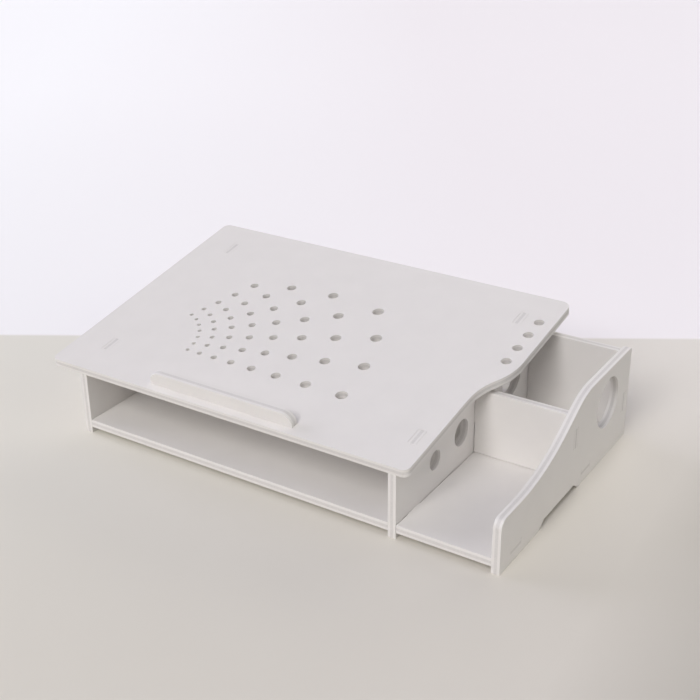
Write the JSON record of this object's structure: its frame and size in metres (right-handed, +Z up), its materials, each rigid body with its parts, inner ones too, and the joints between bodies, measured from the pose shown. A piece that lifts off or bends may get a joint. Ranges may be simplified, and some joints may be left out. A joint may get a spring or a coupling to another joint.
{
  "type": "laptop stand with side tray",
  "caption": "Low laptop stand of slotted foam board: sloping top with a fan of cooling holes, a stop bar and pen holes, an open bay below and an open side tray.",
  "frame": {"origin": "on the desk, under the middle of the overall box", "axes": "+X along the front from the stand to the tray, +Y towards the high back edge, +Z up"},
  "size_m": [0.4898, 0.2858, 0.1195],
  "materials": {
    "foam_board": "matte"
  },
  "bodies": {
    "root": {"top_panel": "foam_board", "laptop_stop_bar": "foam_board", "left_side_panel": "foam_board", "right_side_panel": "foam_board", "bottom_shelf": "foam_board", "rear_brace": "foam_board", "tray_base": "foam_board", "tray_divider": "foam_board", "tray_back_panel": "foam_board", "tray_outer_panel": "foam_board"}
  },
  "joints": []
}
